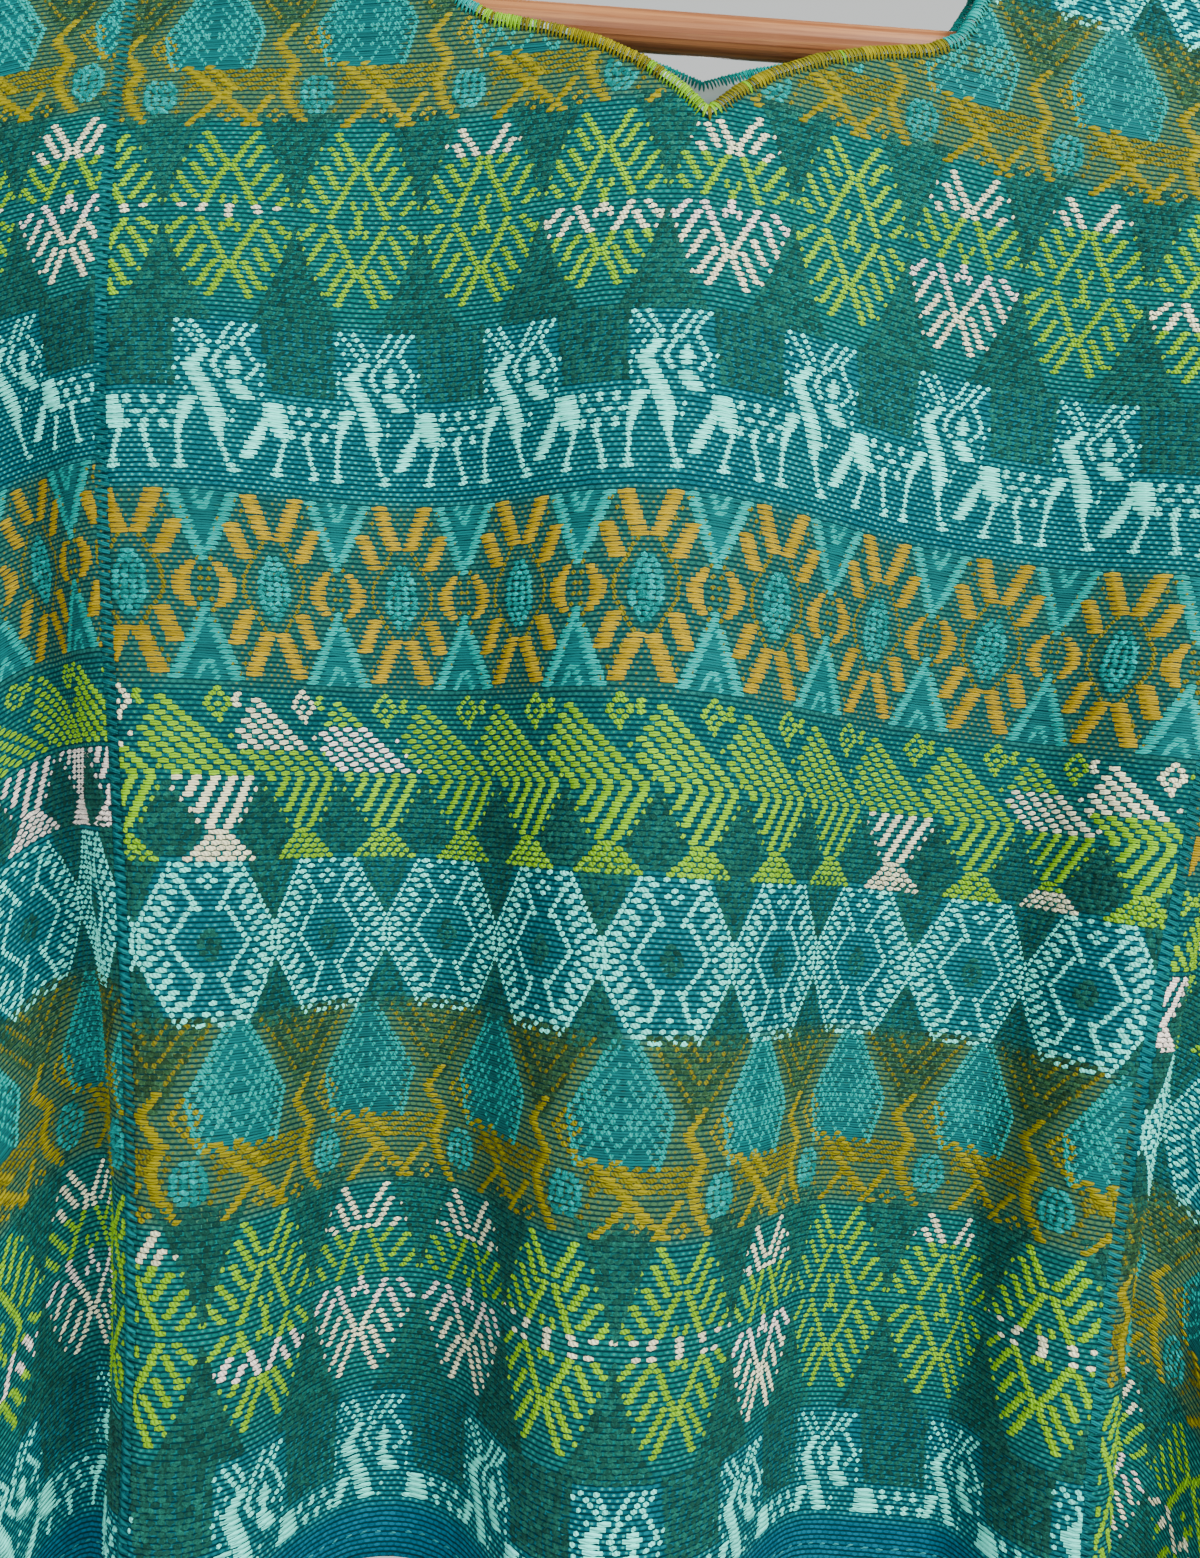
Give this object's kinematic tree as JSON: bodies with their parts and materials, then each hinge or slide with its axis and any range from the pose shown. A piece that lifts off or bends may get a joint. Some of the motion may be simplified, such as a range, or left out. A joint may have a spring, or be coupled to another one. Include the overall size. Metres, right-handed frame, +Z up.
{
  "type": "huipil on hanger",
  "caption": "Loom-woven huipil of joined, brocaded panels with open neck, armholes and hem, hanging in folds on a wooden hanger with a cross bar and a metal hook.",
  "frame": {"origin": "inside top of the hook's bend, where the hanger is held", "axes": "+Z up, the front of the garment faces -Y, +X to the viewer's right"},
  "size_m": [0.703, 0.1448, 0.8162],
  "materials": {
    "centre_cloth": "matte ribbed cotton with raised brocade",
    "left_cloth": "matte ribbed cotton with raised brocade",
    "right_cloth": "matte ribbed cotton with raised brocade",
    "ribbon": "satin ribbon, soft sheen",
    "arm_wood": "satin varnish",
    "bar_wood": "satin varnish",
    "hook_steel": "polished wire"
  },
  "bodies": {
    "root": {"centre_panel": "centre_cloth", "side_panel_left": "left_cloth", "side_panel_right": "right_cloth", "neck_binding": "ribbon", "hanger_arms": "arm_wood", "hanger_bar": "bar_wood", "hanger_hook": "hook_steel"}
  },
  "joints": []
}
